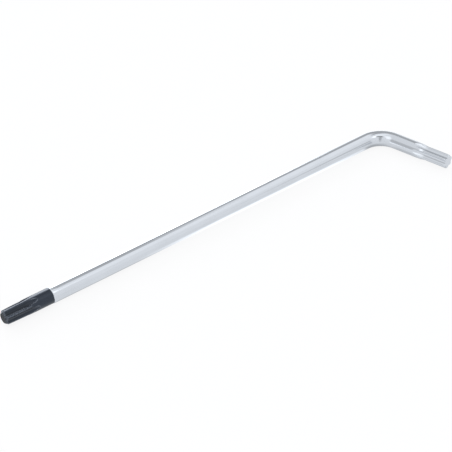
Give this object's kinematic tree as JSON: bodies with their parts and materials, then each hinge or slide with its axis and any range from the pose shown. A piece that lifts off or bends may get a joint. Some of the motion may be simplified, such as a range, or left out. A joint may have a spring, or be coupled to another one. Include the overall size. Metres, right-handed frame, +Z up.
{
  "type": "star key",
  "caption": "Bent key of round bar with a long and a short arm, a black star bit on the long end and a chrome star on the short end, for turning star-socket screws.",
  "frame": {"origin": "centre of the black bit's end face, at the tip of the long arm", "axes": "+X along the long arm from its tip to the bend, -Y to the side that the short arm turns to, +Z up with the key lying flat"},
  "size_m": [0.2139, 0.0409, 0.0072],
  "materials": {
    "chrome_plate": "polished chrome plate on steel",
    "black_oxide_steel": "black oxide on hardened steel, satin"
  },
  "bodies": {
    "root": {"bent_bar": "chrome_plate", "star_bit": "black_oxide_steel"}
  },
  "joints": []
}
